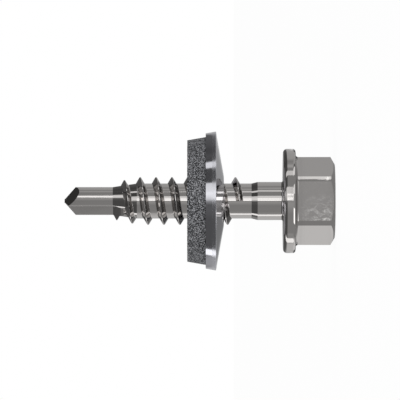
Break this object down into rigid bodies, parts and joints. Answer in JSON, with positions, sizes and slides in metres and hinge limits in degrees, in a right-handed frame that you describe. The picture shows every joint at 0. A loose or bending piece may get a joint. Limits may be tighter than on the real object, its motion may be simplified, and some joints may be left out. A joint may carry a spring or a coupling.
{
  "type": "self drilling screw",
  "caption": "Self drilling screw with a hexagon washer head, a right hand thread, a fluted drill point and a bonded rubber sealing washer captive on its thread.",
  "frame": {"origin": "centre of the flat end face of the head, on which the screw stands", "axes": "+Z along the screw from the head to the drill point, +X through a corner of the hexagon, -Y through a flat of the hexagon, towards the picture's viewer"},
  "size_m": [0.014, 0.014, 0.0272],
  "materials": {
    "zinc_plated_steel": "bright zinc plated case-hardened steel, satin",
    "stainless_sheet": "punched and dished stainless sheet, brushed round its axis",
    "epdm_rubber": "dark grey moulded EPDM, matt with a fine grain"
  },
  "bodies": {
    "screw": {"screw": "zinc_plated_steel"},
    "sealing_washer": {"metal_washer": "stainless_sheet", "rubber_seal": "epdm_rubber"}
  },
  "joints": [
    {"name": "washer_slide", "type": "slide", "parent": "screw", "child": "sealing_washer", "axis": [0, 0, -1], "range_m": [-0.0074, 0.0059]}
  ]
}
